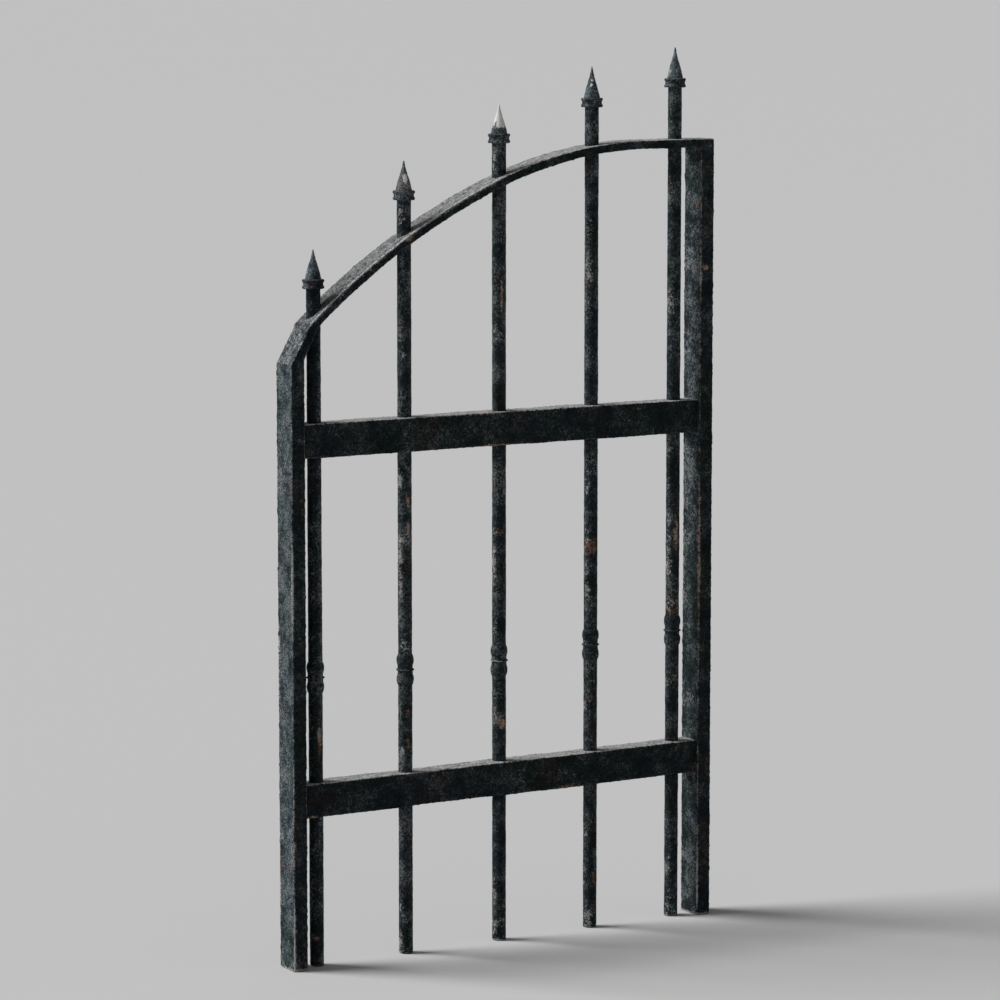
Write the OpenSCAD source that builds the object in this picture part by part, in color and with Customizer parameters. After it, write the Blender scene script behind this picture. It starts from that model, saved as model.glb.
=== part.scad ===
// Wrought iron driveway gate: one leaf of a pair.
// Millimetres, Z up. X runs from the hinge stile's outer face to the meeting stile, Y from front to back.
// The origin is on the hinge stile's outer face, at ground level, midway through its depth.

/* [Leaf] */
// Width over both stiles
leaf_width = 984; // [900:1:1100]
// Depth of the stiles and of the arched rail, front to back
stile_depth = 60; // [50:1:70]
// Width of the hinge stile, seen from the front
hinge_stile_width = 29.5; // [24:0.5:36]
// Width of the meeting stile, seen from the front
meeting_stile_width = 31.5; // [24:0.5:36]

/* [Straight rails] */
// Height of a straight rail
rail_height = 67; // [50:1:80]
// Depth of a straight rail, front to back
rail_depth = 43; // [38:1:56]
// Thickness of a straight rail's walls
rail_wall = 4; // [3:0.5:5]
// Underside of the lower rail above the ground
lower_rail_z = 302; // [250:1:360]
// Underside of the middle rail above the ground
middle_rail_z = 1012; // [960:1:1050]

/* [Arched rail] */
// Thickness of the arched rail
arch_thickness = 17; // [12:0.5:20]
// Top of the level run above the ground
arch_top = 1612; // [1580:1:1660]
// Length of the level run, up to the meeting face
level_length = 157; // [130:1:190]
// Outer radius of the crown, next to the level run
crown_radius = 944; // [860:1:1000]
// Thirteenths of the radius that the haunch, below the crown, has over the crown
radius_step = 42; // [36:1:56]
// Where the rail bends down to the hinge stile, from the hinge face
shoulder_x = 43.5; // [38:0.5:48]
// How far the rail drops from that bend to the hinge face
bend_fall = 78; // [70:1:90]

/* [Bars] */
// Diameter of a bar
bar_diameter = 28; // [22:0.5:32]
// First bar's axis from the hinge face
first_bar_x = 66; // [62:0.5:72]
// Last bar's axis from the meeting face
last_bar_inset = 77; // [66:0.5:84]
// Spacing of the first two bars
first_pitch = 203.5; // [190:0.5:215]
// Spacing of the last two bars
last_pitch = 200.5; // [190:0.5:215]
// Gap all round a bar in a rail's hole
bar_clearance = 0.2; // [0.1:0.05:0.3]
// First bar above the arched rail, up to its collar
rise_1 = 46; // [36:0.5:60]
// Second bar above the arched rail, up to its collar
rise_2 = 65; // [50:0.5:90]
// Third bar above the arched rail, up to its collar
rise_3 = 63.5; // [50:0.5:90]
// Fourth bar above the arched rail, up to its collar
rise_4 = 75.5; // [60:0.5:100]
// Fifth bar above the arched rail, up to its collar
rise_5 = 104.5; // [80:0.5:130]
// Diameter of the spigot at a bar's head
spigot_diameter = 14; // [10:0.5:16]
// Height of the spigot at a bar's head
spigot_height = 10; // [6:0.5:12]

/* [Bead collars] */
// First bar's collar above the ground, at its middle ring
bead_1 = 577; // [540:0.5:620]
// Second bar's collar above the ground, at its middle ring
bead_2 = 575; // [540:0.5:620]
// Third bar's collar above the ground, at its middle ring
bead_3 = 574.5; // [540:0.5:620]
// Fourth bar's collar above the ground, at its middle ring
bead_4 = 588.5; // [540:0.5:620]
// Fifth bar's collar above the ground, at its middle ring
bead_5 = 601; // [560:0.5:640]
// Wall of the sleeve between its beads
sleeve_wall = 1.2; // [1:0.1:2]
// From the middle ring to the beads above and below it
bead_pitch = 19; // [16:0.5:24]
// Height of a bead along the bar
bead_height = 20; // [14:0.5:24]
// How far a bead stands out from the sleeve
bead_rise = 2; // [1.5:0.1:4]
// Height of the middle ring
ring_height = 3; // [2:0.1:5]
// How far the middle ring stands out from the sleeve
ring_rise = 3.2; // [1.5:0.1:5]
// Gap all round a bar in a collar
collar_clearance = 0.15; // [0.05:0.05:0.3]

/* [Points] */
// Height of a point's collar
collar_height = 18.5; // [15:0.5:24]
// Collar's outer diameter over the bar's, at its lips
lip_stand = 16; // [12:0.5:20]
// Height of each lip
lip_height = 4; // [3:0.5:6]
// How far the collar's waist is drawn in
waist_depth = 2.2; // [1:0.1:5]
// Bevel on the lips' outer edges
lip_bevel = 1.4; // [0.5:0.1:2]
// Point's base diameter over the bar's
point_stand = 4.5; // [3:0.5:8]
// Height of the first three points
short_point = 57.5; // [50:0.5:64]
// Height of the last two points
tall_point = 62.5; // [54:0.5:70]
// Diameter of a point's blunted tip
tip_diameter = 2; // [1.6:0.1:4]
// How far a point's flanks swell out low down, and draw in as much near the tip
flank_swell = 0.6; // [0:0.1:1.5]
// Gap between a spigot and its socket, all round and above
socket_clearance = 0.2; // [0.1:0.05:0.3]

/* [Hidden] */
$fn = 96;

frame_colour = [0.13, 0.15, 0.16];
bar_colour = [0.11, 0.13, 0.14];
casting_colour = [0.17, 0.18, 0.18];

// Longer than any cut it is used for
past = 200;
// Larger than the whole leaf
far = 4000;
// How deep a spigot is rooted in its bar
spigot_root = 1;
// Steps along the flank of a point
flank_steps = 4;
// The rail slopes 5 in 12 where the crown meets the haunch, and 5, 12 and 13 make a right triangle,
// so both arcs' centres are whole numbers and the arcs meet exactly
turn_run = 5;
turn_rise = 12;
turn_length = 13;

bar_radius = bar_diameter / 2;
inner_pitch = (leaf_width - first_bar_x - last_bar_inset - first_pitch - last_pitch) / 2;
bar_xs = [
    first_bar_x,
    first_bar_x + first_pitch,
    first_bar_x + first_pitch + inner_pitch,
    leaf_width - last_bar_inset - last_pitch,
    leaf_width - last_bar_inset
];
bead_zs = [bead_1, bead_2, bead_3, bead_4, bead_5];
rises = [rise_1, rise_2, rise_3, rise_4, rise_5];
point_heights = [short_point, short_point, short_point, tall_point, tall_point];
rail_start = hinge_stile_width;
rail_length = leaf_width - hinge_stile_width - meeting_stile_width;

// Centres of the two arcs, and where the crown's arc meets the haunch's
crown_x = leaf_width - level_length;
crown_z = arch_top - crown_radius;
join_x = crown_x - crown_radius * turn_run / turn_length;
haunch_radius = crown_radius + radius_step * turn_length;
haunch_x = crown_x + radius_step * turn_run;
haunch_z = crown_z - radius_step * turn_rise;

// The bent end's top runs from the shoulder to the hinge face, where it meets the stile in a mitre
shoulder_z = haunch_z + sqrt(pow(haunch_radius, 2) - pow(haunch_x - shoulder_x, 2));
hinge_top = shoulder_z - bend_fall;
bend_slope = bend_fall / shoulder_x;
mitre_top = hinge_top + hinge_stile_width * tan((90 - atan(bend_slope)) / 2);

// Its underside runs from the mitre's inner corner to the haunch, one thickness past the shoulder,
// so it tapers from the stile's width to the rail's thickness
under_x = shoulder_x + arch_thickness;
under_z = haunch_z + sqrt(pow(haunch_radius - arch_thickness, 2) - pow(haunch_x - under_x, 2));
under_slope = (under_z - mitre_top) / (under_x - hinge_stile_width);

// Height of the bent end's underside over a place along the leaf
function bend_under(x) = mitre_top + under_slope * (x - hinge_stile_width);

// Height of the arched rail's top over a place along the leaf
function arch_height(x) =
    x >= crown_x ? arch_top :
    x >= join_x ? crown_z + sqrt(pow(crown_radius, 2) - pow(crown_x - x, 2)) :
    haunch_z + sqrt(pow(haunch_radius, 2) - pow(haunch_x - x, 2));

function collar_base(i) = arch_height(bar_xs[i]) + rises[i];
function bar_head(i) = collar_base(i) + collar_height;

// Radius of a point's flank, at a share t of its height
function flank(t, base, tip) = base - (base - tip) * t + flank_swell * sin(360 * t);

// A shape drawn in X and Z, given a depth and centred on the leaf's middle plane
module upright(depth) {
    translate([0, depth / 2, 0])
        rotate([90, 0, 0])
            linear_extrude(height = depth)
                children();
}

module bar_holes() {
    for (x = bar_xs)
        translate([x, 0, 0])
            cylinder(h = far, r = bar_radius + bar_clearance);
}

module hinge_stile() {
    color(frame_colour)
        upright(stile_depth)
            polygon([
                [0, 0],
                [hinge_stile_width, 0],
                [hinge_stile_width, mitre_top],
                [0, hinge_top]
            ]);
}

module meeting_stile() {
    color(frame_colour)
        translate([leaf_width - meeting_stile_width, -stile_depth / 2, 0])
            cube([meeting_stile_width, stile_depth, arch_top - arch_thickness]);
}

module straight_rail(z) {
    color(frame_colour)
        difference() {
            translate([rail_start, -rail_depth / 2, z])
                cube([rail_length, rail_depth, rail_height]);
            translate([rail_start - past, rail_wall - rail_depth / 2, z + rail_wall])
                cube([rail_length + 2 * past, rail_depth - 2 * rail_wall, rail_height - 2 * rail_wall]);
            bar_holes();
        }
}

module lower_rail() {
    straight_rail(lower_rail_z);
}

module middle_rail() {
    straight_rail(middle_rail_z);
}

// A disc in X and Z
module disc(x, z, radius) {
    translate([x, z])
        circle(r = radius, $fn = 360);
}

module level_run() {
    translate([crown_x, arch_top - arch_thickness])
        square([leaf_width - crown_x, arch_thickness]);
}

module crown() {
    difference() {
        intersection() {
            disc(crown_x, crown_z, crown_radius);
            polygon([
                [crown_x, crown_z],
                [crown_x, crown_z + turn_rise * past],
                [crown_x - turn_run * past, crown_z + turn_rise * past]
            ]);
        }
        disc(crown_x, crown_z, crown_radius - arch_thickness);
    }
}

// The haunch and the end bent down from it, to the mitre on the hinge stile
module haunch_and_bent_end() {
    clear_x = 4 * shoulder_x;
    difference() {
        intersection() {
            disc(haunch_x, haunch_z, haunch_radius);
            polygon([
                [haunch_x, haunch_z],
                [haunch_x - turn_run * past, haunch_z + turn_rise * past],
                [clear_x, hinge_top + bend_slope * clear_x],
                [0, hinge_top],
                [hinge_stile_width, mitre_top]
            ]);
        }
        intersection() {
            disc(haunch_x, haunch_z, haunch_radius - arch_thickness);
            polygon([
                [-past, bend_under(-past)],
                [far, bend_under(far)],
                [far, -far],
                [-past, -far]
            ]);
        }
    }
}

// A core inside the rail, laid across the place where two of its runs meet
module seam_core(x, z, slope) {
    translate([x, z])
        rotate(slope)
            square([2 * arch_thickness, arch_thickness / 2], center = true);
}

module arched_top_rail() {
    mid_radius = crown_radius - arch_thickness / 2;
    mid_x = crown_x - mid_radius * turn_run / turn_length;
    mid_z = crown_z + mid_radius * turn_rise / turn_length;
    color(frame_colour)
        difference() {
            upright(stile_depth)
                union() {
                    level_run();
                    crown();
                    haunch_and_bent_end();
                    seam_core(crown_x, crown_z + mid_radius, 0);
                    seam_core(mid_x, mid_z, atan2(turn_run, turn_rise));
                }
            bar_holes();
        }
}

module bar(i) {
    color(bar_colour)
        translate([bar_xs[i], 0, 0]) {
            cylinder(h = bar_head(i), r = bar_radius);
            translate([0, 0, bar_head(i) - spigot_root])
                cylinder(h = spigot_root + spigot_height, r = spigot_diameter / 2);
        }
}

// Half of a collar's section, cut on the bar's axis; a bead is an arc that stands out from the sleeve
module bead_section() {
    inside = bar_radius + collar_clearance;
    outside = bar_radius + sleeve_wall;
    round = (pow(bead_height / 2, 2) + pow(bead_rise, 2)) / (2 * bead_rise);
    half = bead_pitch + bead_height / 2;
    translate([inside, -half])
        square([outside - inside, 2 * half]);
    translate([inside, -ring_height / 2])
        square([outside + ring_rise - inside, ring_height]);
    for (z = [-bead_pitch, bead_pitch])
        intersection() {
            translate([outside + bead_rise - round, z])
                circle(r = round);
            translate([inside, z - bead_height])
                square([outside + bead_rise, 2 * bead_height]);
        }
}

module bead_collar(i) {
    color(casting_colour)
        translate([bar_xs[i], 0, bead_zs[i]])
            rotate_extrude()
                bead_section();
}

module point_collar(i) {
    lip = bar_radius + lip_stand / 2;
    inside = bar_radius + collar_clearance;
    color(casting_colour)
        translate([bar_xs[i], 0, collar_base(i)])
            rotate_extrude()
                polygon([
                    [inside, 0],
                    [lip - lip_bevel, 0],
                    [lip, lip_bevel],
                    [lip, lip_height],
                    [lip - waist_depth, collar_height / 2],
                    [lip, collar_height - lip_height],
                    [lip, collar_height - lip_bevel],
                    [lip - lip_bevel, collar_height],
                    [inside, collar_height]
                ]);
}

module spear_point(i) {
    base = bar_radius + point_stand / 2;
    tip = tip_diameter / 2;
    height = point_heights[i];
    socket = spigot_diameter / 2 + socket_clearance;
    color(casting_colour)
        translate([bar_xs[i], 0, bar_head(i)])
            rotate_extrude()
                polygon([
                    [socket, 0],
                    for (k = [0 : flank_steps])
                        [flank(k / flank_steps, base, tip), height * k / flank_steps],
                    [0, height],
                    [0, spigot_height + socket_clearance],
                    [socket, spigot_height + socket_clearance]
                ]);
}

hinge_stile();
meeting_stile();
lower_rail();
middle_rail();
arched_top_rail();
bar(0);  // bar_1
bar(1);  // bar_2
bar(2);  // bar_3
bar(3);  // bar_4
bar(4);  // bar_5
bead_collar(0);  // bead_collar_1
bead_collar(1);  // bead_collar_2
bead_collar(2);  // bead_collar_3
bead_collar(3);  // bead_collar_4
bead_collar(4);  // bead_collar_5
point_collar(0);  // point_collar_1
point_collar(1);  // point_collar_2
point_collar(2);  // point_collar_3
point_collar(3);  // point_collar_4
point_collar(4);  // point_collar_5
spear_point(0);  // spear_point_1
spear_point(1);  // spear_point_2
spear_point(2);  // spear_point_3
spear_point(3);  // spear_point_4
spear_point(4);  // spear_point_5
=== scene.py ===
"""Looks of the gate leaf, in metres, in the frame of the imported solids.

Each solid is rebuilt as the same piece in worn, hand-finished iron: edges rounded and chipped, faces dented
and pitted, and dark paint that has chalked, flaked and rusted where the photograph shows it.
"""

import math

import bpy
import numpy as np
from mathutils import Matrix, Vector, noise


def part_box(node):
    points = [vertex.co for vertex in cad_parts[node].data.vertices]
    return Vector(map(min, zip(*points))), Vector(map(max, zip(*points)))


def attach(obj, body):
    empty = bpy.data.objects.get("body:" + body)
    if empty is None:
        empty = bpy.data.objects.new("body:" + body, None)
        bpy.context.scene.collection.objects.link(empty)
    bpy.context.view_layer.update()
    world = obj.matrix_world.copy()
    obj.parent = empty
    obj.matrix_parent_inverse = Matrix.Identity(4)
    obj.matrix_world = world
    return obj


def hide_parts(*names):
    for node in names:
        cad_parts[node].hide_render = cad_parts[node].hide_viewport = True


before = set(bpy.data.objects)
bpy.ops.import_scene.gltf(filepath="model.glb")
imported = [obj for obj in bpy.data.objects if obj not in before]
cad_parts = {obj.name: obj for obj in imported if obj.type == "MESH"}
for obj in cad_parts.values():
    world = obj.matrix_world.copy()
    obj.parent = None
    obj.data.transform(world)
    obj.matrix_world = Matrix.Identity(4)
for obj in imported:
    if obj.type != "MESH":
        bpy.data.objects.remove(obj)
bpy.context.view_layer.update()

MM = 0.001
BARS = range(1, 6)
# What a mesh's points are marked with for the paint: nearness to an edge, rust, bared primer and bright metal,
# the last two also carrying painted highlights
MARKS = ("edge", "rust", "bare", "bright")

# Spacing of a mesh's points along a piece, across a flat face and up a bead collar
ALONG = 2.2 * MM
ACROSS = 3.6 * MM
BEAD_STEP = 0.9 * MM
# Sides of a bar and of a turned casting, and the rows up a collar's waist and up a point
BAR_SIDES = 44
CASTING_SIDES = 64
WAIST_ROWS = 13
POINT_ROWS = 46
# Worn edges: their radius, the steps round it, and how far onto a face their wear reaches
EDGE_RADIUS = 2.2 * MM
EDGE_STEPS = 3
EDGE_REACH = 5 * MM
# How far a piece runs on inside the one that it joins, so that no dent opens a gap there
OVERLAP = 1.5 * MM
# The map to bake on: the margin of its strips, the band kept for a piece's two ends, the
# radius of an end as a share of that band, and the ends' places across the map
MAP_NAME = "OFBake"
MAP_MARGIN = 0.01
MAP_BAND = 0.06
MAP_END_RADIUS = 0.4
MAP_END_PLACES = (0.25, 0.75)

# Wear off the true surface: how far each kind goes, how large its marks are along a face, and how high the
# noise has to be for a pit to start
SWAY = 0.35 * MM
RAIL_SWAY = 1.8 * MM
ARCH_SWAY = 0.9 * MM
SWAY_SIZE = 95 * MM
SWELL = 0.3 * MM
SWELL_SIZE = 36 * MM
HAMMER = 0.38 * MM
HAMMER_SIZE = 10 * MM
PIT = 0.8 * MM
PIT_SIZE = 5 * MM
PIT_START = 0.25
CHIP = 1.0 * MM
CHIP_SIZE = 17 * MM
NICK = 1.5 * MM
NICK_SIZE = 6 * MM
# How far apart in the noise one seed's place is from the next
SEED_STEP = 7.31

# The arched rail's curve, as in the part's source
ARCH_THICKNESS = 17 * MM
LEVEL_LENGTH = 157 * MM
CROWN_RADIUS = 944 * MM
HAUNCH_RADIUS = 1490 * MM
SHOULDER_X = 43.5 * MM
BEND_FALL = 78 * MM
# The rail slopes 5 in 12 where its two arcs meet, and 13 is that triangle's long side
TURN_RUN, TURN_RISE, TURN_LENGTH = 5, 12, 13

# The castings' sections, as in the part's source
SLEEVE_WALL = 1.2 * MM
SLEEVE_HALF = 29 * MM
BEAD_PITCH = 19 * MM
BEAD_HEIGHT = 20 * MM
BEAD_RISE = 2 * MM
RING_HEIGHT = 3 * MM
LIP_HEIGHT = 4 * MM
LIP_BEVEL = 1.4 * MM
WAIST_DEPTH = 2.2 * MM
TIP_RADIUS = 1 * MM
FLANK_SWELL = 0.6 * MM
# The castings' worn shapes: a ring's spread and the slope of its sides, how square a waist is drawn in, how far
# in a point's seat is, and the first row above that seat, as a share of the point's height
RING_SPREAD = 0.4 * MM
RING_SLOPE = 0.9 * MM
WAIST_CURVE = 0.7
SEAT_INSET = 0.8 * MM
FIRST_ROW = 0.015
# How much like an edge the castings wear: a lip from its outer end to the waist, and a point from its seat up
LIP_WEAR = (0.3, 0.6, 0.4)
SEAT_WEAR = 0.4
FLANK_WEAR = 0.1
FLANK_WEAR_RISE = 0.4


def stretch(start, end, step):
    """Places from start to end, about a step apart, both ends included."""
    return np.linspace(start, end, max(2, round(abs(end - start) / step) + 1))


def ripple(points, size, seed):
    """Smooth noise from about -1 to 1 at each point, with swells of about that size."""
    return np.array([noise.noise(p) for p in (points / size + SEED_STEP * seed).tolist()])


# Meshes

def section(width, depth):
    """A rectangle with rounded corners about its middle, as points (across, through), and how near each of
    them is to a corner."""
    half = np.array([width / 2 - EDGE_RADIUS, depth / 2 - EDGE_RADIUS])
    signs = [(1, 1), (-1, 1), (-1, -1), (1, -1)]
    rim = np.linspace(0, math.pi / 2, EDGE_STEPS + 1)
    corners = []
    for turn, sign in enumerate(signs):
        a = rim + turn * math.pi / 2
        corners.append(sign * half + EDGE_RADIUS * np.column_stack([np.cos(a), np.sin(a)]))
    points = []
    for turn in range(4):
        start, end = corners[turn][-1], corners[(turn + 1) % 4][0]
        flat = stretch(0, 1, ACROSS / np.linalg.norm(end - start))[1:-1, None]
        points += [corners[turn], start + (end - start) * flat]
    points = np.concatenate(points)
    to_corner = np.hypot(width / 2 - abs(points[:, 0]), depth / 2 - abs(points[:, 1]))
    return points, np.clip(1 - (to_corner - EDGE_RADIUS / 2) / EDGE_REACH, 0, 1)


class Skin:
    """A closed mesh over rings of points that follow each other, with each point's nearness to an edge.
    A flat end is cut square to its neighbour and keeps a sharp rim."""

    def __init__(self, rings, edges, flat_ends):
        self.count, self.sides = len(rings), len(rings[0])
        self.flat_ends = flat_ends
        self.points = np.concatenate([*rings, [rings[0].mean(0)], [rings[-1].mean(0)]])
        self.edge = np.concatenate([*edges, np.zeros(2)])

    def faces(self):
        """Four-sided faces between the rings, and a fan of triangles over each end."""
        i, j = np.meshgrid(np.arange(self.count - 1), np.arange(self.sides), indexing="ij")
        k = (j + 1) % self.sides
        here, next_ring = i * self.sides, (i + 1) * self.sides
        quads = np.stack([here + j, here + k, next_ring + k, next_ring + j], axis=2).reshape(-1, 4)
        j, k = np.arange(self.sides), (np.arange(self.sides) + 1) % self.sides
        hub, last = self.count * self.sides, (self.count - 1) * self.sides
        start_fan = np.column_stack([np.full(self.sides, hub), k, j])
        end_fan = np.column_stack([np.full(self.sides, hub + 1), last + j, last + k])
        return quads.tolist() + start_fan.tolist() + end_fan.tolist()

    def outward(self, normals):
        """The way each point is worn: along its normal, and on a flat end's rim as the ring next to it."""
        out = normals.copy()
        last, sides = (self.count - 1) * self.sides, self.sides
        if self.flat_ends[0]:
            out[:sides] = normals[sides:2 * sides]
        if self.flat_ends[1]:
            out[last:last + sides] = normals[last - sides:last]
        return out

    def sharpen(self, mesh):
        """Marks the rims of the flat ends as sharp."""
        ends = np.empty(len(mesh.edges) * 2, np.int32)
        mesh.edges.foreach_get("vertices", ends)
        ring = ends.reshape(-1, 2) // self.sides
        sharp = np.zeros(len(ring), bool)
        for at, flat in zip((0, self.count - 1), self.flat_ends):
            sharp |= flat & (ring == at).all(1)
        mesh.attributes.new("sharp_edge", "BOOLEAN", "EDGE").data.foreach_set("value", sharp)

    def unfold(self, mesh):
        """Lays the mesh out flat for baking."""
        flat = np.concatenate([self.strips(), *self.end_circles()]).astype(np.float32)
        mesh.uv_layers.new(name=MAP_NAME).uv.foreach_set("vector", flat.ravel())

    def strips(self):
        """The side faces' corners on the map: the piece's length in strips side by side, about a square."""
        rings = self.points[: self.count * self.sides].reshape(self.count, self.sides, 3)
        middle = rings[self.count // 2]
        widths = np.linalg.norm(np.roll(middle, -1, axis=0) - middle, axis=1)
        lengths = np.linalg.norm(np.diff(rings, axis=0), axis=2).mean(1)
        round_it = np.concatenate([[0], np.cumsum(widths)])
        along = np.concatenate([[0], np.cumsum(lengths)])
        strips = max(1, round(math.sqrt(along[-1] / round_it[-1])))
        strip = (np.arange(self.count - 1) * strips) // (self.count - 1)
        starts = np.array([along[np.argmax(strip == s)] for s in range(strips)])
        tallest = max(along[np.flatnonzero(strip == s)[-1] + 1] - starts[s] for s in range(strips))
        share = MAP_MARGIN + (1 - 2 * MAP_MARGIN) * round_it / round_it[-1]
        sideways = np.stack([share[:-1], share[1:], share[1:], share[:-1]], axis=1)
        u = (strip[:, None, None] + sideways[None]) / strips
        low, high = ((edge - starts[strip]) / tallest for edge in (along[:-1], along[1:]))
        v = np.stack([low, low, high, high], axis=1)[:, None, :] * (1 - MAP_BAND)
        shape = (self.count - 1, self.sides, 4)
        return np.stack([np.broadcast_to(u, shape), np.broadcast_to(v, shape)], axis=3).reshape(-1, 2)

    def end_circles(self):
        """The end faces' corners on the map: a circle for each end, in the band above the strips."""
        turn = 2 * math.pi * np.arange(self.sides + 1) / self.sides
        rim = np.column_stack([np.cos(turn), np.sin(turn)]) * MAP_BAND * MAP_END_RADIUS
        hub = np.zeros((self.sides, 2))
        start_fan = np.stack([hub, rim[1:], rim[:-1]], axis=1)
        end_fan = np.stack([hub, rim[:-1], rim[1:]], axis=1)
        placed = zip((start_fan, end_fan), MAP_END_PLACES)
        return [fan.reshape(-1, 2) + (across, 1 - MAP_BAND / 2) for fan, across in placed]


def sweep(outer, inner, depth, worn_ends):
    """A piece of rounded rectangular section between two lines in X and Z, which mark its outer and inner
    faces. A worn end is rounded, and its line stops an edge's radius short of it; the others are cut flat."""
    across = outer - inner
    width = np.median(np.hypot(*across.T))
    points, near = section(width, depth)
    middle = (outer + inner) / 2
    rings, edges = [], []

    def ring(i, shift, inset, edge):
        share = 0.5 + points[:, 0] / width * (1 - 2 * inset / width)
        xz = inner[i] + across[i] * share[:, None] + shift
        y = points[:, 1] * (1 - 2 * inset / depth)
        rings.append(np.column_stack([xz[:, 0], y, xz[:, 1]]))
        edges.append(np.maximum(near, edge))

    def rounded_end(i, inward, turns):
        out = middle[i] - middle[i + inward]
        out = out / np.hypot(*out)
        for a in turns:
            ring(i, out * EDGE_RADIUS * math.sin(a), EDGE_RADIUS * (1 - math.cos(a)), 1.0)

    quarter = np.linspace(0, math.pi / 2, EDGE_STEPS + 1)[1:]
    if worn_ends[0]:
        rounded_end(0, 1, quarter[::-1])
    travelled = np.concatenate([[0], np.cumsum(np.hypot(*np.diff(middle, axis=0).T))])
    for i, run in enumerate(travelled):
        to_ends = [end for end, worn in zip((run, travelled[-1] - run), worn_ends) if worn]
        ring(i, 0, 0, max([0, *(1 - end / EDGE_REACH for end in to_ends)]))
    if worn_ends[1]:
        rounded_end(len(middle) - 1, -1, quarter)
    return Skin(rings, edges, [not worn for worn in worn_ends])


def turned(axis_x, base, rows, sides):
    """A turned piece about an upright axis, from rows of radius, height above its base and nearness to an
    edge."""
    angle = np.linspace(0, 2 * math.pi, sides, endpoint=False)
    rings, edges = [], []
    for radius, height, edge in rows:
        level = np.full(sides, base + height)
        rings.append(np.column_stack([axis_x + radius * np.cos(angle), radius * np.sin(angle), level]))
        edges.append(np.full(sides, edge))
    return Skin(rings, edges, (False, False))


def wear(points, edge, sway):
    """How far each point stands off the true surface: the sway of hand work, hammer marks, pits, and chips
    and nicks at the edges."""
    swells = sway * ripple(points, SWAY_SIZE, 1) + SWELL * ripple(points, SWELL_SIZE, 6)
    hammer = HAMMER * ripple(points, HAMMER_SIZE, 2)
    pits = PIT * np.clip(ripple(points, PIT_SIZE, 3) - PIT_START, 0, 1)
    chips = CHIP * np.clip(ripple(points, CHIP_SIZE, 4), 0, 1)
    nicks = NICK * np.clip(ripple(points, NICK_SIZE, 5), 0, 1)
    return swells + hammer - pits - edge * (chips + nicks)


def iron(node, skin, material, patches=(), sway=SWAY):
    """The piece that stands for a solid: its mesh worn, but no lower than the ground, its patches kept as
    marks for the paint, and its material."""
    mesh = bpy.data.meshes.new(node + "_iron")
    mesh.from_pydata(skin.points.tolist(), [], skin.faces())
    normals = np.empty(len(skin.points) * 3, np.float32)
    mesh.vertex_normals.foreach_get("vector", normals)
    out = skin.outward(normals.reshape(-1, 3))
    worn = skin.points + out * wear(skin.points, skin.edge, sway)[:, None]
    worn[:, 2] = np.maximum(worn[:, 2], 0)
    mesh.vertices.foreach_set("co", worn.astype(np.float32).ravel())
    marks = {kind: np.zeros(len(skin.points)) for kind in MARKS}
    marks["edge"] = skin.edge
    for kind, field in patches:
        marks[kind] = np.maximum(marks[kind], field(skin.points))
    for name, values in marks.items():
        mesh.attributes.new(name, "FLOAT", "POINT").data.foreach_set("value", values.astype(np.float32))
    skin.unfold(mesh)
    mesh.shade_smooth()
    skin.sharpen(mesh)
    mesh.update()
    piece = bpy.data.objects.new(node + "_iron", mesh)
    bpy.context.scene.collection.objects.link(piece)
    mesh.materials.append(material)
    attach(piece, "root")
    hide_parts(node)


# Paint

class Graph:
    """Short calls for the nodes of one material."""

    def __init__(self, material):
        material.use_nodes = True
        self.tree = material.node_tree
        self.tree.nodes.clear()
        self.place = self.tree.nodes.new("ShaderNodeTexCoord").outputs["Object"]

    def add(self, kind, inputs=(), **settings):
        """A node with its settings, and each input linked to a socket or set to a value."""
        node = self.tree.nodes.new(kind)
        for name, value in settings.items():
            setattr(node, name, value)
        for key, value in dict(inputs).items():
            if isinstance(value, bpy.types.NodeSocket):
                self.tree.links.new(value, node.inputs[key])
            else:
                node.inputs[key].default_value = value
        return node

    def noise(self, size, detail, roughness=0.55, place=None):
        """Noise from 0 to 1 with swells of about that size, in metres."""
        inputs = {"Vector": place or self.place, "Scale": 1 / size, "Detail": detail, "Roughness": roughness}
        return self.add("ShaderNodeTexNoise", inputs).outputs["Fac"]

    def drawn_out(self, along_x):
        """The place for a noise that is drawn out so many times along X."""
        inputs = {0: self.place, 1: (1 / along_x, 1, 1)}
        return self.add("ShaderNodeVectorMath", inputs, operation="MULTIPLY").outputs[0]

    def math(self, operation, a, b=0.0, clamp=False):
        return self.add("ShaderNodeMath", {0: a, 1: b}, operation=operation, use_clamp=clamp).outputs[0]

    def times(self, a, b, clamp=False):
        return self.math("MULTIPLY", a, b, clamp)

    def total(self, first, *rest):
        for value in rest:
            first = self.math("ADD", first, value)
        return first

    def swing(self, value, amount):
        """The value's swing about its middle, times an amount."""
        return self.times(self.math("SUBTRACT", value, 0.5), amount)

    def rise(self, value, low, high, floor=0.0, top=1.0):
        """The floor where the value is at low, the top where it is at high, and straight between."""
        inputs = {"Value": value, "From Min": low, "From Max": high, "To Min": floor, "To Max": top}
        return self.add("ShaderNodeMapRange", inputs).outputs["Result"]

    def mix(self, share, a, b, blend="MIX"):
        """The colour a with a share of the colour b in it."""
        node = self.add("ShaderNodeMix", {"Factor": share}, data_type="RGBA", blend_type=blend)
        for socket, value in ((node.inputs[6], a), (node.inputs[7], b)):
            if isinstance(value, bpy.types.NodeSocket):
                self.tree.links.new(value, socket)
            else:
                socket.default_value = (*value, 1)
        return node.outputs[2]

    def mark(self, name):
        return self.add("ShaderNodeAttribute", attribute_name=name).outputs["Fac"]


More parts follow.
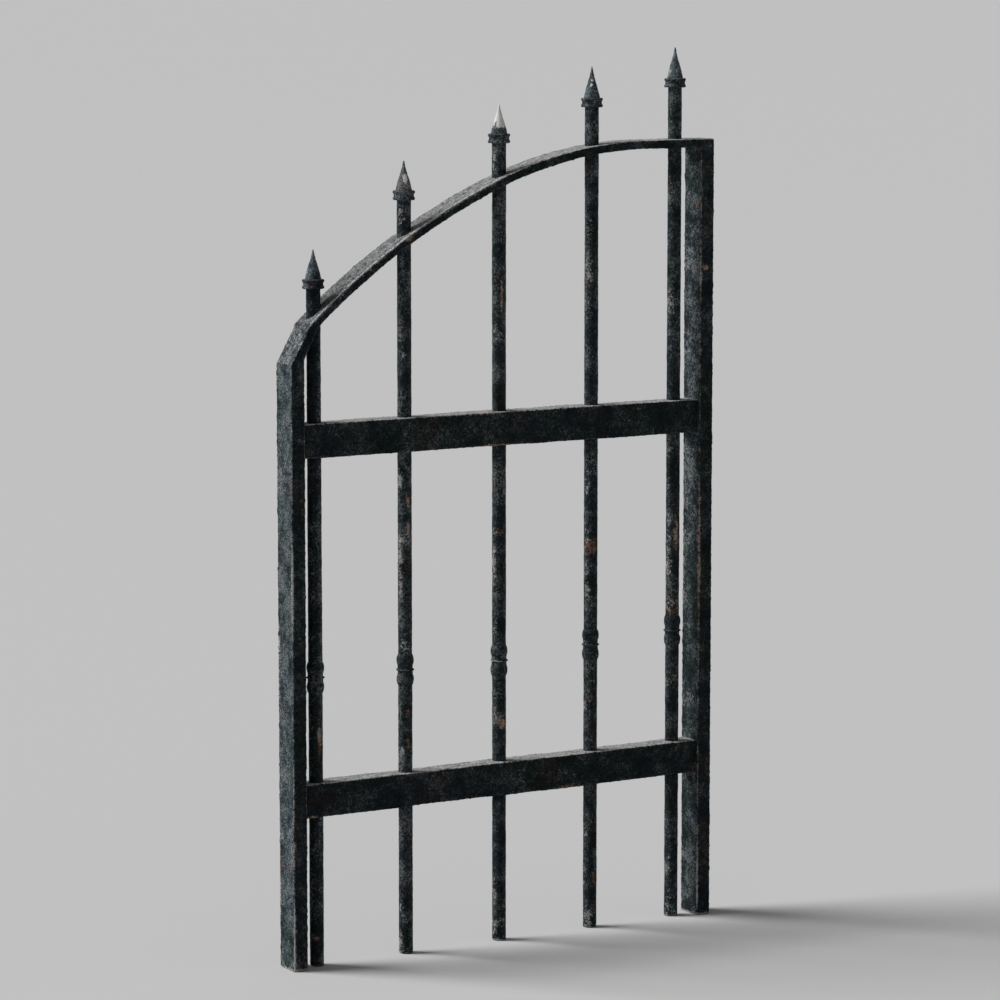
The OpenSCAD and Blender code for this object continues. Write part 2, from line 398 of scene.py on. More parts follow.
BLUE_BLACK = (0.0044, 0.0076, 0.0108)
GREEN_BLACK = (0.0043, 0.0089, 0.0078)
BROWN_BLACK = (0.0086, 0.0080, 0.0078)
BLUE_CHALK = (0.096, 0.126, 0.153)
GREEN_CHALK = (0.094, 0.128, 0.119)
GREY_CHALK = (0.122, 0.121, 0.126)
PALE_CHALK = (0.200, 0.216, 0.226)
# Dust colours, pale enough to be a painted sheen on the tops as well
GREY_DUST_AND_SHEEN = (0.214, 0.218, 0.218)
PALE_DUST_AND_SHEEN = (0.380, 0.378, 0.369)
FLECK = (0.112, 0.120, 0.122)
PRIMER = (0.260, 0.262, 0.255)
PALE_PRIMER_AND_HIGHLIGHT = (0.470, 0.470, 0.460)
PINK_PRIMER = (0.265, 0.215, 0.200)
STAIN = (0.060, 0.047, 0.041)
DARK_RUST = (0.036, 0.024, 0.019)
BROWN_RUST = (0.165, 0.102, 0.076)
TAN_RUST = (0.300, 0.212, 0.160)
# Bright metal, also the colour of painted highlights
BRIGHT_IRON_AND_HIGHLIGHT = (0.68, 0.675, 0.66)

# The finish: roughness of sound and of weathered paint, what polish takes off it, and the gloss and bump
SOUND_ROUGHNESS = 0.55
WEATHERED_ROUGHNESS = 0.92
POLISH = 0.4
PAINT_SPECULAR = 0.05
BUMP_STRENGTH = 0.6
BUMP_HEIGHT = 0.9 * MM


class Surface:
    """What the layers of a paint share: noises from broad to fine, the marks on the mesh, the way it faces,
    and how far it faces the hinge side, on the left, which takes painted light, and the meeting side, on the
    right, which takes painted fill light. The painted light on the left fades as painted shade, the farther
    and lower a place is from the hinge stile's head."""

    def __init__(self, g):
        self.broad = g.noise(190 * MM, 3)
        self.streak = g.noise(66 * MM, 6, 0.7)
        self.tint = g.noise(60 * MM, 4, 0.6)
        self.cloud = g.noise(46 * MM, 5, 0.62)
        self.grain = g.noise(11 * MM, 6, 0.78)
        self.pitting = g.noise(4.6 * MM, 4, 0.75)
        self.speck = g.noise(3.0 * MM, 3, 0.7)
        self.edge, self.rust, self.bare, self.bright = (g.mark(kind) for kind in MARKS)
        normal = g.add("ShaderNodeNewGeometry").outputs["Normal"]
        self.facing = g.add("ShaderNodeSeparateXYZ", {0: normal}).outputs
        place = g.add("ShaderNodeSeparateXYZ", {0: g.place}).outputs
        # Painted light: faces towards the hinge side get a thicker, paler chalk film, as if lit from the left;
        # as painted shade, it fades to the right and downwards from the hinge stile's head
        from_hinge_head = g.total(place["X"], g.times(place["Z"], -0.45))
        left_light_falloff = g.rise(from_hinge_head, -0.45, 1.0, 1.05, 0.45)
        self.left = g.times(g.rise(self.facing["X"], 0.0, -1.0), left_light_falloff)
        # Painted fill light: faces towards the meeting side get a thicker, paler chalk film, as if lit from the
        # right
        self.right = g.rise(self.facing["X"], -0.3, 0.4)


# The layers of a paint, each over the one before, with g for the material's graph and s for its surface. In a
# rise, the first two numbers are where a noise begins and ends to tell; in a swing, the number is how far a
# finer noise breaks up a broader one

def chalk_layer(g, s, exposure, painted_left_light, painted_right_light, mottling):
    """Sound paint under an uneven film of chalk, thicker on the hinge side as painted light and on the meeting
    side as painted fill light: how thick the film is, and the colour.
    """
    chalk_and_light = g.total(
        g.times(s.left, painted_left_light), g.times(s.right, painted_right_light), g.times(s.bare, 0.05), exposure)
    fine = 0.75 * mottling
    uneven = g.times(
        g.rise(s.cloud, 0.34, 0.66, 0.15, 1.85), g.rise(s.grain, 0.36, 0.64, 1 - fine, 1 + fine))
    uneven = g.times(uneven, g.rise(s.speck, 0.40, 0.60, 1 - mottling, 1 + mottling))
    film = g.times(chalk_and_light, uneven, clamp=True)
    paint = g.mix(g.rise(s.broad, 0.42, 0.58), BLUE_BLACK, GREEN_BLACK)
    paint = g.mix(g.rise(s.tint, 0.54, 0.66), paint, BROWN_BLACK)
    chalk = g.mix(g.rise(s.tint, 0.40, 0.54), GREEN_CHALK, BLUE_CHALK)
    chalk = g.mix(g.rise(s.tint, 0.54, 0.62), chalk, GREY_CHALK)
    bleached = g.total(s.cloud, g.swing(s.grain, 0.7), g.swing(s.speck, 0.5))
    chalk = g.mix(g.rise(bleached, 0.50, 0.66), chalk, PALE_CHALK)
    return film, g.mix(film, paint, chalk)


def dust_and_sheen_layer(g, s, under, dust_and_sheen):
    """Dust and bleached paint on what faces up, broken and thin where it slopes, pale enough to be a painted
    sheen of light on the tops as well.
    """
    up = s.facing["Z"]
    broken = g.rise(up, 0.35, 1.0, 0.56, 0.36)
    dust_and_sheen_cover = g.math("SUBTRACT", g.total(s.grain, g.swing(s.speck, 0.5)), broken)
    dust_and_sheen_cover = g.times(g.rise(dust_and_sheen_cover, -0.08, 0.10), g.rise(up, 0.2, 0.5, 0.0, dust_and_sheen))
    dust_and_sheen_cover = g.times(dust_and_sheen_cover, g.rise(up, 0.75, 1.0, 0.35, 1.0))
    swept = g.noise(6 * MM, 5, 0.7, g.drawn_out(5))
    return g.mix(dust_and_sheen_cover, under, g.mix(g.rise(swept, 0.42, 0.58), GREY_DUST_AND_SHEEN, PALE_DUST_AND_SHEEN))


def rust_layer(g, s, under):
    """Rust with the paint round it stained: how far it has eaten through, and the colour."""
    eaten = g.rise(g.total(s.rust, g.swing(s.grain, 2.8), g.swing(s.speck, 2.0)), 0.52, 0.92)
    eaten = g.times(eaten, g.rise(s.rust, 0.0, 0.3))
    brown = g.total(s.grain, g.swing(s.speck, 0.5))
    tan = g.total(s.cloud, g.swing(s.grain, 0.8))
    rust = g.mix(g.rise(brown, 0.42, 0.58), DARK_RUST, BROWN_RUST)
    rust = g.mix(g.rise(tan, 0.46, 0.60), rust, TAN_RUST)
    stained = g.mix(g.times(s.rust, 0.4), under, STAIN)
    return eaten, g.mix(eaten, stained, rust)


def edge_wear_and_highlights(g, s):
    """Where the paint is gone in broken lines along the edges, most on those that face up and back, towards the
    sun, so that the lines are partly wear and partly painted highlight.
    """
    nicked = g.total(s.edge, g.swing(s.grain, 1.8), g.swing(s.speck, 1.2), g.times(s.bare, 0.25))
    stretches = g.total(s.streak, g.times(s.bare, 0.2), g.rise(s.facing["Z"], 0.3, 0.7, 0.0, 0.12))
    toward_light = g.total(g.times(s.facing["Z"], 0.7), g.times(s.facing["Y"], 0.3), g.times(s.bare, 0.6))
    lines = g.times(g.rise(nicked, 0.80, 1.0), g.rise(stretches, 0.46, 0.54))
    return g.times(lines, g.rise(toward_light, -0.55, 0.1, 0.1, 1.0))


def chip_layer(g, s, under, flaking):
    """Grey flecks where the paint has begun to go, primer where it is bared, and pale lines on the edges,
    partly
    wear and partly painted highlight: how far the paint is gone, and the colour."""
    # Painted light: more pale flecks on faces towards the hinge side
    ready = g.total(g.times(s.left, 0.12), g.times(s.bare, 0.17), g.times(s.rust, 0.07))
    loose = g.total(ready, g.swing(s.cloud, 0.8), g.swing(s.broad, 0.6), flaking)
    fleck = g.rise(g.total(s.speck, loose, g.swing(s.grain, 0.9)), 0.67, 0.73)
    primer = g.mix(g.rise(g.noise(42 * MM, 2), 0.56, 0.66), PRIMER, PINK_PRIMER)
    through = g.rise(g.total(s.bare, g.times(s.rust, 0.4), g.swing(s.pitting, 1.4)), 0.14, 0.60)
    flecked = g.mix(fleck, under, g.mix(through, FLECK, primer))
    lines = edge_wear_and_highlights(g, s)
    # Painted highlight: the lines are paler on edges that face up
    edge_line_and_highlight_colour = g.mix(g.rise(s.facing["Z"], 0.3, 0.7), primer, PALE_PRIMER_AND_HIGHLIGHT)
    return g.math("MAXIMUM", fleck, lines), g.mix(lines, flecked, edge_line_and_highlight_colour)


def metal_and_highlight_layer(g, s, under):
    """Bright metal where a piece is worn to a polish, and painted highlights: how far it is, and the colour."""
    polished_and_highlit = g.rise(g.total(s.bright, g.swing(s.grain, 2.0), g.swing(s.speck, 0.8)), 0.45, 0.62)
    polished_and_highlit = g.times(polished_and_highlit, g.rise(s.bright, 0.0, 0.2))
    return polished_and_highlit, g.mix(polished_and_highlit, under, BRIGHT_IRON_AND_HIGHLIGHT)


def weathered_paint(name, exposure, painted_left_light, painted_right_light, mottling, flaking, dust_and_sheen):
    """Dark paint over iron, in layers. The exposure is how far it has chalked on every side, the chalking how
    much more film the hinge side has, as painted light, the far chalking how much more the meeting side has,
    as painted fill light, the mottling how unevenly, the flaking how far its flecks are ahead of other pieces',
    and the dusting how much dust stays on it, pale enough to be a painted sheen on the tops as well."""
    material = bpy.data.materials.new(name)
    g = Graph(material)
    s = Surface(g)
    film, colour = chalk_layer(g, s, exposure, painted_left_light, painted_right_light, mottling)
    colour = dust_and_sheen_layer(g, s, colour, dust_and_sheen)
    eaten, colour = rust_layer(g, s, colour)
    gone, colour = chip_layer(g, s, colour, flaking)
    colour = g.mix(1.0, colour, g.rise(s.pitting, 0.36, 0.64, 0.42, 1.58), "MULTIPLY")
    polished_and_highlit, colour = metal_and_highlight_layer(g, s, colour)

    worst = g.math("MAXIMUM", film, g.math("MAXIMUM", gone, eaten))
    dull = g.rise(worst, 0.0, 1.0, SOUND_ROUGHNESS, WEATHERED_ROUGHNESS)
    height = g.total(s.grain, g.times(s.pitting, 0.7), g.times(gone, -0.25))
    bump = g.add("ShaderNodeBump", {"Strength": BUMP_STRENGTH, "Distance": BUMP_HEIGHT, "Height": height})
    shader = g.add("ShaderNodeBsdfPrincipled", {
        "Base Color": colour,
        "Roughness": g.math("SUBTRACT", dull, g.times(polished_and_highlit, POLISH)),
        "Specular IOR Level": PAINT_SPECULAR,
        "Normal": bump.outputs["Normal"],
    })
    g.add("ShaderNodeOutputMaterial", {"Surface": shader.outputs["BSDF"]})
    return material


# In each paint, the extra chalk film on the hinge and meeting sides stands in for light falling on them
frame_paint = weathered_paint(
    "frame_paint", exposure=0.032, painted_left_light=0.50, painted_right_light=0.10,
    mottling=1.0, flaking=-0.08, dust_and_sheen=1.0)
bar_paint = weathered_paint(
    "bar_paint", exposure=0.075, painted_left_light=0.22, painted_right_light=0.17,
    mottling=0.9, flaking=-0.035, dust_and_sheen=0.4)
# For the first bar and its bead collar, which stand by the hinge stile, with painted shade: little chalk film
# on the hinge side, in the stile's shadow, and more on the meeting side as painted fill light
stile_shadow_paint = weathered_paint(
    "stile_shadow_paint", exposure=0.045, painted_left_light=0.05, painted_right_light=0.28,
    mottling=0.9, flaking=-0.05, dust_and_sheen=0.64)
casting_paint = weathered_paint(
    "casting_paint", exposure=0.075, painted_left_light=0.21, painted_right_light=0.12,
    mottling=0.8, flaking=-0.09, dust_and_sheen=0.17)
spool_paint = weathered_paint(
    "spool_paint", exposure=0.13, painted_left_light=0.29, painted_right_light=0.10,
    mottling=0.8, flaking=-0.06, dust_and_sheen=0.64)
point_paint = weathered_paint(
    "point_paint", exposure=1.0, painted_left_light=0.45, painted_right_light=0.0,
    mottling=0.8, flaking=-0.03, dust_and_sheen=0.3)


# Shapes of the pieces

hinge_low, hinge_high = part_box("hinge_stile")
meet_low, meet_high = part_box("meeting_stile")
lower_low, lower_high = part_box("lower_rail")
middle_low, middle_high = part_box("middle_rail")
arch_low, arch_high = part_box("arched_top_rail")
arch_top = arch_high.z
crown_x = arch_high.x - LEVEL_LENGTH
crown_z = arch_top - CROWN_RADIUS
radius_step = (HAUNCH_RADIUS - CROWN_RADIUS) / TURN_LENGTH
haunch_x, haunch_z = crown_x + radius_step * TURN_RUN, crown_z - radius_step * TURN_RISE
shoulder_turn = math.asin((haunch_x - SHOULDER_X) / HAUNCH_RADIUS)
under_turn = math.asin((haunch_x - SHOULDER_X - ARCH_THICKNESS) / (HAUNCH_RADIUS - ARCH_THICKNESS))
hinge_top = haunch_z + HAUNCH_RADIUS * math.cos(shoulder_turn) - BEND_FALL
mitre_top = hinge_high.z
meet_top = meet_high.z + OVERLAP


def stile(low, high, left_top, right_top):
    """An upright with a worn foot, cut under the arched rail from left_top to right_top."""
    share = stretch(0, 1, ALONG / left_top)
    left = EDGE_RADIUS + share * (left_top - EDGE_RADIUS)
    right = EDGE_RADIUS + share * (right_top - EDGE_RADIUS)
    outer = np.column_stack([np.full(len(left), low.x), left])
    inner = np.column_stack([np.full(len(left), high.x), right])
    return sweep(outer, inner, high.y - low.y, (True, False))


def straight_rail(low, high):
    """A rail that runs on a little into both stiles."""
    x = stretch(low.x - OVERLAP, high.x + OVERLAP, ALONG)
    upper = np.column_stack([x, np.full(len(x), high.z)])
    lower = np.column_stack([x, np.full(len(x), low.z)])
    return sweep(upper, lower, high.y - low.y, (False, False))


def arc(x, z, radius, turns):
    """Points of an arc in X and Z, at angles from the upright towards -X."""
    return np.column_stack([x - radius * np.sin(turns), z + radius * np.cos(turns)])


def arched_rail():
    """The level run, the crown, the haunch, and the end bent down to the mitre on the hinge stile."""
    turn = math.atan2(TURN_RUN, TURN_RISE)
    level_x = stretch(arch_high.x - EDGE_RADIUS, crown_x, ALONG)
    crown_steps = stretch(0, turn, ALONG / CROWN_RADIUS)[1:]
    haunch_steps = stretch(0, 1, ALONG / (HAUNCH_RADIUS * (shoulder_turn - turn)))[1:]
    bent_steps = stretch(0, 1, ALONG / math.hypot(SHOULDER_X, BEND_FALL))[1:, None]

    def face_line(drop, last_turn, end):
        """A face's line: how far it lies under the top, and where its haunch and its bent end stop."""
        level = np.column_stack([level_x, np.full(len(level_x), arch_top - drop)])
        crown = arc(crown_x, crown_z, CROWN_RADIUS - drop, crown_steps)
        haunch = arc(haunch_x, haunch_z, HAUNCH_RADIUS - drop, turn + haunch_steps * (last_turn - turn))
        bent = haunch[-1] + (np.array(end) - haunch[-1]) * bent_steps
        return np.concatenate([level, crown, haunch, bent])

    outer = face_line(0, shoulder_turn, (hinge_low.x, hinge_top))
    inner = face_line(ARCH_THICKNESS, under_turn, (hinge_high.x, mitre_top))
    return sweep(inner, outer, arch_high.y - arch_low.y, (True, False))


def bar_rows(radius, length):
    """A bar with its foot's rim worn round."""
    rim = np.linspace(math.pi / 2, 0, EDGE_STEPS + 1)
    foot = [(radius - EDGE_RADIUS * (1 - math.cos(a)), EDGE_RADIUS * (1 - math.sin(a)), 1) for a in rim]
    heights = stretch(EDGE_RADIUS, length, ALONG)[1:]
    return foot + [(radius, z, max(0, 1 - z / (2 * EDGE_REACH))) for z in heights]


def bead_rows(bar_radius, radius, height, ring_wear):
    """A sleeve with a round bead above and below a thin middle ring. The beads run out inside the bar."""
    inside, sleeve = bar_radius - OVERLAP, bar_radius + SLEEVE_WALL
    bead_round = ((BEAD_HEIGHT / 2) ** 2 + BEAD_RISE ** 2) / (2 * BEAD_RISE)
    rows = [(inside, -OVERLAP, 0)]
    for z in stretch(-OVERLAP, height + OVERLAP, BEAD_STEP):
        off = abs(z - height / 2)
        bead = sleeve + BEAD_RISE - bead_round + math.sqrt(bead_round ** 2 - (off - BEAD_PITCH) ** 2)
        ring = np.clip((RING_HEIGHT / 2 + RING_SPREAD - off) / RING_SLOPE, 0, 1)
        body = sleeve + (radius - sleeve) * ring if off < SLEEVE_HALF else inside
        rows.append((max(bead, body), z, ring_wear * ring))
    return rows + [(inside, height + OVERLAP, 0)]


def spool_rows(bar_radius, radius, height):
    """A spool with two bevelled lips and a drawn-in waist."""
    outer_wear, bevel_wear, inner_wear = LIP_WEAR
    lip = [
        (bar_radius - OVERLAP, 0, 0),
        (radius - LIP_BEVEL, 0, outer_wear),
        (radius, LIP_BEVEL, bevel_wear),
        (radius, LIP_HEIGHT, inner_wear),
    ]
    waist = []
    for t in np.linspace(0, 1, WAIST_ROWS)[1:-1]:
        z = LIP_HEIGHT + t * (height - 2 * LIP_HEIGHT)
        waist.append((radius - WAIST_DEPTH * math.sin(math.pi * t) ** WAIST_CURVE, z, 0))
    return lip + waist + [(r, height - z, edge) for r, z, edge in reversed(lip)]


def spear_rows(base, height):
    """A point whose flanks swell low down and draw in to a blunted tip."""
    rows = [(base - SEAT_INSET, 0, SEAT_WEAR)]
    for t in np.linspace(FIRST_ROW, 1, POINT_ROWS):
        flank = base - (base - TIP_RADIUS) * t + FLANK_SWELL * math.sin(2 * math.pi * t)
        rows.append((flank, height * t, FLANK_WEAR + FLANK_WEAR_RISE * t))
    return rows


# Patches of rust, of bared primer and of bright metal, the last two also carrying painted highlights

# The scraped rim of a stile's foot
RIM_HEIGHT = 3 * MM
RIM_STRENGTH = 1.7
# The painted highlights along the edges of the arched rail's top, drawn as bared primer: how far they reach
# onto it, and where along it they end
TOP_HIGHLIGHT_REACH = 4 * MM
TOP_HIGHLIGHT_END = 464 * MM


def fade(distance):
    """A patch's strength at a distance in reaches: full within a half, and gone at one and a half."""
    return np.clip(1.5 - distance, 0, 1)


def round_patch(x, z, reach, facing, width, strength=1.0):
    """A patch on a turned piece at x: its middle height and half height, the way it faces in degrees from the
    front towards the hinge side, half its width in degrees, and its strength."""
    def field(points):
        angle = np.degrees(np.arctan2(-(points[:, 0] - x), -points[:, 1]))
        off = abs((angle - facing + 180) % 360 - 180) / width
        return strength * fade(np.hypot(off, (points[:, 2] - z) / reach))
    return field


def spot(at, reach):
    """A patch about a point, with its reach in X, Y and Z."""
    def field(points):
        return fade(np.linalg.norm((points - at) / reach, axis=1))
    return field


def foot_rim(right):
    """The scraped rim of a stile's foot, with the stile's right face at that place in X."""
    def field(points):
        return RIM_STRENGTH * np.clip(2 - points[:, 2] / RIM_HEIGHT, 0, 1) * (points[:, 0] < right)
    return field


def top_edge_highlight(side):
    """A painted highlight, drawn as bared primer, along the edge of the arched rail's top on one side, all
    along its haunch.
    """
    def field(points):
        from_centre = np.hypot(points[:, 0] - haunch_x, points[:, 2] - haunch_z)
        on_top = from_centre > HAUNCH_RADIUS - ARCH_THICKNESS / 2
        on_haunch = (points[:, 0] > SHOULDER_X) & (points[:, 0] < TOP_HIGHLIGHT_END)
        return fade(abs(points[:, 1] - side) / TOP_HIGHLIGHT_REACH) * on_top * on_haunch
    return field


# Patches on the bars: what shows there, its height and half height, the way it faces in degrees from the
# front towards the hinge side, half its width in degrees, and its strength where it is faint
BAR_PATCHES = {
    1: [
        ("rust", 0.057, 0.005, 30, 26, 0.8), ("bare", 0.035, 0.010, 5, 14, 0.7),
        ("rust", 0.455, 0.035, 0, 18), ("bare", 0.845, 0.030, 0, 16, 0.4),
        ("bare", 0.990, 0.012, 0, 18, 0.6), ("bare", 1.310, 0.030, 40, 60, 0.4),
    ],
    2: [
        ("bare", 0.025, 0.022, 85, 22), ("bare", 0.102, 0.020, 66, 28, 0.9),
        ("bare", 0.415, 0.012, 70, 40, 0.6), ("rust", 0.430, 0.014, 8, 16),
        ("rust", 0.490, 0.012, 10, 25, 0.6), ("bare", 0.630, 0.024, 40, 60, 0.5),
        ("bare", 0.785, 0.055, 74, 30, 0.68), ("bare", 0.838, 0.010, 30, 70, 0.55),
        ("rust", 0.858, 0.014, 0, 16), ("rust", 0.915, 0.016, 5, 20),
        ("bare", 0.952, 0.024, 78, 22, 0.8), ("bare", 1.200, 0.008, 30, 30, 0.8),
        ("bare", 1.250, 0.030, 40, 70, 0.3), ("bare", 1.475, 0.018, 60, 40, 0.7),
    ],
    3: [
        ("bare", 0.022, 0.022, 30, 80, 1.1), ("bare", 0.105, 0.028, 82, 26, 0.7),
        ("bare", 0.400, 0.030, 45, 60, 0.35), ("rust", 0.450, 0.013, 15, 45),
        ("bare", 0.460, 0.020, 50, 50, 0.3), ("bare", 0.645, 0.018, 70, 35, 0.8),
        ("bare", 0.775, 0.036, 80, 26, 0.85), ("rust", 0.838, 0.008, 20, 70, 0.8),
        ("bare", 0.836, 0.008, 30, 80, 0.7), ("bare", 0.915, 0.035, 40, 60, 0.35),
        ("bare", 1.230, 0.020, 40, 60, 0.4), ("rust", 1.310, 0.045, 8, 13),
        ("bare", 1.580, 0.020, 80, 30, 0.5),
    ],
    4: [
        ("bare", 0.022, 0.024, 45, 65, 0.6), ("rust", 0.102, 0.018, 8, 28, 0.8),
        ("bare", 0.110, 0.025, 95, 22, 0.7), ("bare", 0.197, 0.006, 80, 25, 0.8),
        ("rust", 0.395, 0.020, 0, 30, 0.5), ("bare", 0.460, 0.012, 85, 25, 0.6),
        ("rust", 0.478, 0.008, 30, 60, 0.6), ("bare", 0.535, 0.020, 2, 10, 0.5),
        ("bare", 0.725, 0.034, 60, 50, 0.9), ("rust", 0.790, 0.018, 35, 65),
        ("bare", 0.808, 0.006, 80, 30), ("bare", 0.826, 0.016, 35, 75, 1.0),
        ("bare", 0.920, 0.055, 40, 80, 0.65), ("bare", 1.280, 0.030, 75, 40, 0.45),
        ("bare", 1.345, 0.030, 60, 50, 0.4), ("bare", 1.440, 0.020, 40, 60, 0.4),
    ],
    5: [
        ("bare", 0.022, 0.026, 45, 70, 1.0), ("bare", 0.108, 0.024, 55, 55),
        ("rust", 0.650, 0.026, 35, 80, 0.6), ("bare", 0.655, 0.026, 50, 60, 0.4),
        ("bare", 0.738, 0.018, 70, 32, 0.9), ("rust", 0.805, 0.040, 4, 24),
        ("bare", 0.800, 0.050, 80, 34, 0.75), ("bare", 0.905, 0.014, 80, 28, 0.8),
        ("bare", 0.965, 0.035, 85, 34, 0.6), ("bare", 1.150, 0.040, 50, 60, 0.3),
        ("bare", 1.280, 0.030, 60, 50, 0.4), ("bare", 1.500, 0.040, 75, 40, 0.4),
    ],
}
# Patches on the points: what shows there, its height and half height as shares of the point's, the way it
# faces and half its width. The narrow bright strips facing -44 to -46 degrees are painted highlights.
POINT_PATCHES = {
    1: [("bright", 0.5, 0.4, -44, 7), ("bare", 0.35, 0.3, 95, 25)],
    2: [("bright", 0.42, 0.16, 12, 28), ("bare", 0.4, 0.3, 10, 50), ("bright", 0.6, 0.3, -46, 6)],
    3: [("bright", 0.75, 0.5, 0, 400)],
    4: [("bright", 0.42, 0.05, 36, 16), ("bright", 0.56, 0.04, 32, 20), ("bright", 0.5, 0.28, -44, 9)],
    5: [("bare", 0.45, 0.4, 100, 30), ("bare", 0.4, 0.35, 10, 25), ("bright", 0.4, 0.35, -46, 6)],
}
# How far each bead collar's middle ring is worn down to its primer
RING_WEAR = {1: 0.35, 2: 0.9, 3: 1.15, 4: 0.35, 5: 0.35}

# Patches by chance on each bar: how many, from what height up, the ways they face in degrees, their half
# heights, their half widths in degrees, and the share of them that is rust
STRAY_PATCHES = 7
STRAY_LOWEST = 0.02
STRAY_FACING = (150, 290)
STRAY_REACH = (0.008, 0.03)
STRAY_WIDTH = (15, 40)
STRAY_RUST = 0.55
STRAY_SEED = 11
chance = np.random.default_rng(STRAY_SEED)


def stray_patches(x, top):
    """Small patches on a bar's other sides, where the photograph doesn't show them."""
    made = []
    for _ in range(STRAY_PATCHES):
        z = chance.uniform(STRAY_LOWEST, top)
        facing = chance.uniform(*STRAY_FACING)
        kind = "rust" if chance.random() < STRAY_RUST else "bare"
        reach = chance.uniform(*STRAY_REACH)
        width = chance.uniform(*STRAY_WIDTH)
        made.append((kind, round_patch(x, z, reach, facing, width)))
    return made


# Patches on the stiles and rails: what shows there, about which point, and how far it reaches in X, Y and Z
front, back = arch_low.y, -arch_low.y
rail_front = lower_low.y
hinge_patches = [
    ("rust", spot((0, front, 0.25), (0.004, 0.004, 0.008))),
    ("rust", spot((0, back, 0.20), (0.006, 0.006, 0.05))),
    ("bare", spot((0, back, 0.60), (0.007, 0.007, 0.12))),
    ("bare", spot((0, front, 0.06), (0.006, 0.006, 0.06))),
    ("bare", spot((0, front, 0.76), (0.005, 0.005, 0.08))),
    ("bare", spot((0, back, 0.10), (0.008, 0.008, 0.09))),
    ("bare", foot_rim(hinge_high.x)),
]
meeting_patches = [
    ("rust", spot((meet_low.x, front, 0.74), (0.004, 0.006, 0.16))),
    ("bare", spot((meet_low.x, back, 0.80), (0.006, 0.006, 0.15))),
    ("bare", spot((meet_low.x, back, 0.12), (0.007, 0.007, 0.10))),
    ("bare", spot((meet_low.x, front, 0.08), (0.004, 0.004, 0.06))),
    ("bare", foot_rim(meet_high.x)),
    ("rust", spot((meet_low.x, front, 1.338), (0.003, 0.004, 0.016))),
    ("bare", spot((meet_low.x, front, 1.330), (0.003, 0.004, 0.012))),
    ("rust", spot((meet_low.x + 0.010, front, 1.350), (0.007, 0.004, 0.008))),
    ("rust", spot((meet_low.x, front + 0.014, 1.478), (0.004, 0.010, 0.007))),
]
lower_patches = [
    ("rust", spot((0.645, rail_front, lower_low.z), (0.035, 0.008, 0.006))),
    ("rust", spot((0.045, rail_front, lower_low.z), (0.012, 0.006, 0.004))),
]
middle_patches = [
    ("rust", spot((0.455, rail_front, middle_high.z), (0.05, 0.006, 0.003))),
    ("rust", spot((0.46, rail_front, middle_low.z), (0.06, 0.006, 0.004))),
]
arch_patches = [
    ("rust", spot((0.262, front, 1.436), (0.014, 0.008, 0.008))),
    # Painted highlights along the top's front and back edges
    ("bare", top_edge_highlight(front)),
    ("bare", top_edge_highlight(back)),
]


# The pieces, from the frame to the bars with their castings

hinge_stile = stile(hinge_low, hinge_high, hinge_top, mitre_top)
meeting_stile = stile(meet_low, meet_high, meet_top, meet_top)
lower_rail = straight_rail(lower_low, lower_high)
middle_rail = straight_rail(middle_low, middle_high)
iron("hinge_stile", hinge_stile, frame_paint, hinge_patches)
iron("meeting_stile", meeting_stile, frame_paint, meeting_patches)
iron("lower_rail", lower_rail, frame_paint, lower_patches, RAIL_SWAY)
iron("middle_rail", middle_rail, frame_paint, middle_patches, RAIL_SWAY)
iron("arched_top_rail", arched_rail(), frame_paint, arch_patches, ARCH_SWAY)

for n in BARS:
    low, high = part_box(f"bar_{n}")
    x, bar_radius = (low.x + high.x) / 2, (high.x - low.x) / 2
    collar_low, collar_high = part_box(f"point_collar_{n}")
    patches = [(kind, round_patch(x, *where)) for kind, *where in BAR_PATCHES[n]]
    patches += stray_patches(x, collar_low.z)
    bar = turned(x, 0, bar_rows(bar_radius, collar_high.z), BAR_SIDES)
    iron(f"bar_{n}", bar, stile_shadow_paint if n == 1 else bar_paint, patches)

    low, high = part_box(f"bead_collar_{n}")
    rows = bead_rows(bar_radius, (high.x - low.x) / 2, high.z - low.z, RING_WEAR[n])
    bead = turned(x, low.z, rows, CASTING_SIDES)
    iron(f"bead_collar_{n}", bead, stile_shadow_paint if n == 1 else casting_paint)

    rows = spool_rows(bar_radius, (collar_high.x - collar_low.x) / 2, collar_high.z - collar_low.z)
    spool = turned(x, collar_low.z, rows, CASTING_SIDES)
    iron(f"point_collar_{n}", spool, spool_paint)

    low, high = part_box(f"spear_point_{n}")
    height = high.z - low.z
    rows = spear_rows((high.x - low.x) / 2, height)
    patches = [
        (kind, round_patch(x, low.z + share * height, reach * height, facing, width))
        for kind, share, reach, facing, width in POINT_PATCHES[n]]
    point = turned(x, low.z, rows, CASTING_SIDES)
    iron(f"spear_point_{n}", point, point_paint, patches)


# Stage: pale floor, soft light and the photograph's camera, with its lens and sensor in millimetres

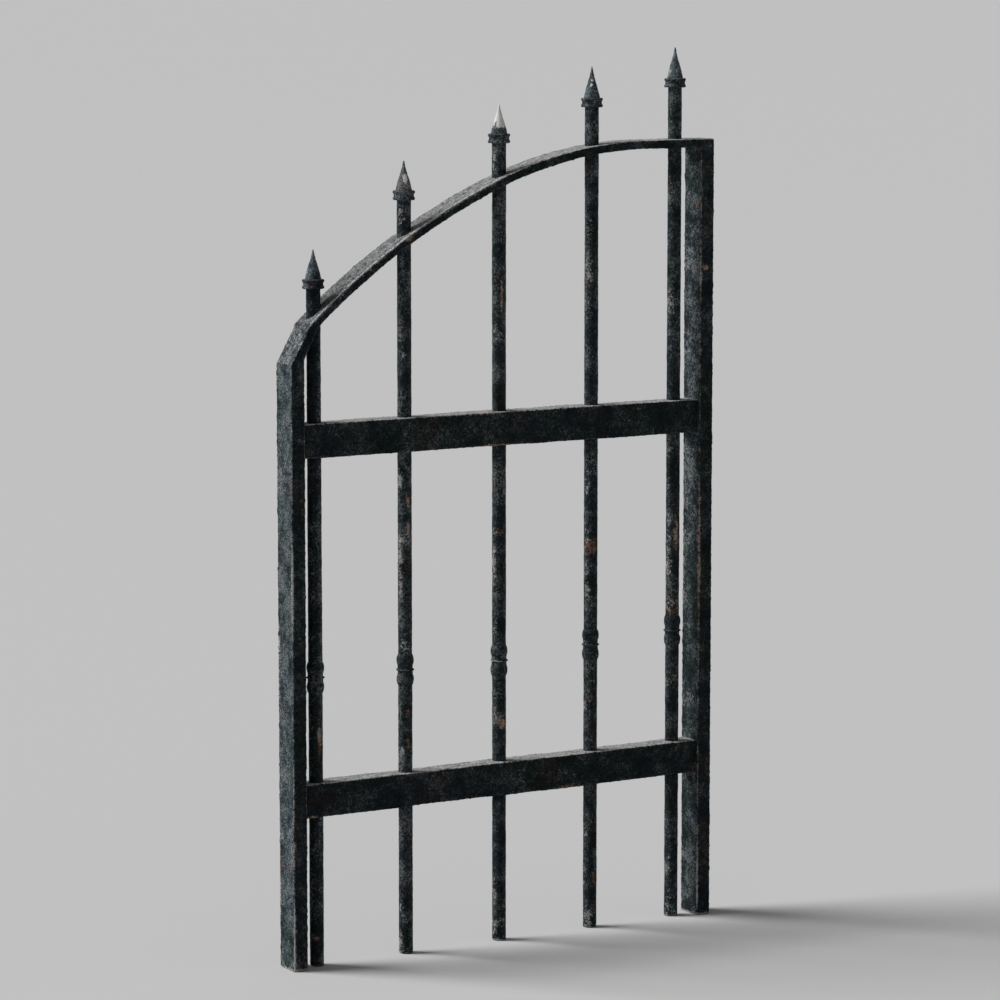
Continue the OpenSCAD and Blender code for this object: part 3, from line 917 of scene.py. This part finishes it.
FLOOR_REACH = 1500
FLOOR_COLOUR = (0.55, 0.55, 0.55)
FLOOR_ROUGHNESS = 0.9
FLOOR_SPECULAR = 0.1
SKY_LIGHT = 0.2
SUN_LIGHT = 3.6
SUN_SOFTNESS = math.radians(30)
SUN_FROM = Vector((-0.62, 0.40, 0.68))
LENS = 148.2
SENSOR = 36
CAMERA_AZIMUTH = math.radians(31.48)
CAMERA_PITCH = math.radians(7.25)
CAMERA_PLACE = Vector((-3.7823, -6.9777, 1.9402))

floor_corners = [(x * FLOOR_REACH, y * FLOOR_REACH, 0) for x, y in ((-1, -1), (1, -1), (1, 1), (-1, 1))]
floor_mesh = bpy.data.meshes.new("floor")
floor_mesh.from_pydata(floor_corners, [], [(0, 1, 2, 3)])
floor = bpy.data.objects.new("floor", floor_mesh)
bpy.context.scene.collection.objects.link(floor)
floor_paint = bpy.data.materials.new("floor_paint")
floor_paint.use_nodes = True
floor_shader = floor_paint.node_tree.nodes["Principled BSDF"]
floor_shader.inputs["Base Color"].default_value = (*FLOOR_COLOUR, 1)
floor_shader.inputs["Roughness"].default_value = FLOOR_ROUGHNESS
floor_shader.inputs["Specular IOR Level"].default_value = FLOOR_SPECULAR
floor_mesh.materials.append(floor_paint)

world = bpy.data.worlds.new("studio")
bpy.context.scene.world = world
world.use_nodes = True
world.node_tree.nodes["Background"].inputs["Color"].default_value = (1, 1, 1, 1)
world.node_tree.nodes["Background"].inputs["Strength"].default_value = SKY_LIGHT

sun_data = bpy.data.lights.new("sun", "SUN")
sun_data.energy = SUN_LIGHT
sun_data.angle = SUN_SOFTNESS
sun = bpy.data.objects.new("sun", sun_data)
sun.rotation_mode = "QUATERNION"
sun.rotation_quaternion = SUN_FROM.to_track_quat("Z", "Y")
bpy.context.scene.collection.objects.link(sun)

camera_data = bpy.data.cameras.new("camera")
camera_data.lens = LENS
camera_data.sensor_width = SENSOR
camera_data.clip_end = 3 * FLOOR_REACH
camera = bpy.data.objects.new("camera", camera_data)
camera.location = CAMERA_PLACE
camera.rotation_euler = (math.pi / 2 - CAMERA_PITCH, 0, -CAMERA_AZIMUTH)
bpy.context.scene.collection.objects.link(camera)
bpy.context.scene.camera = camera
bpy.context.scene.view_settings.view_transform = "Standard"
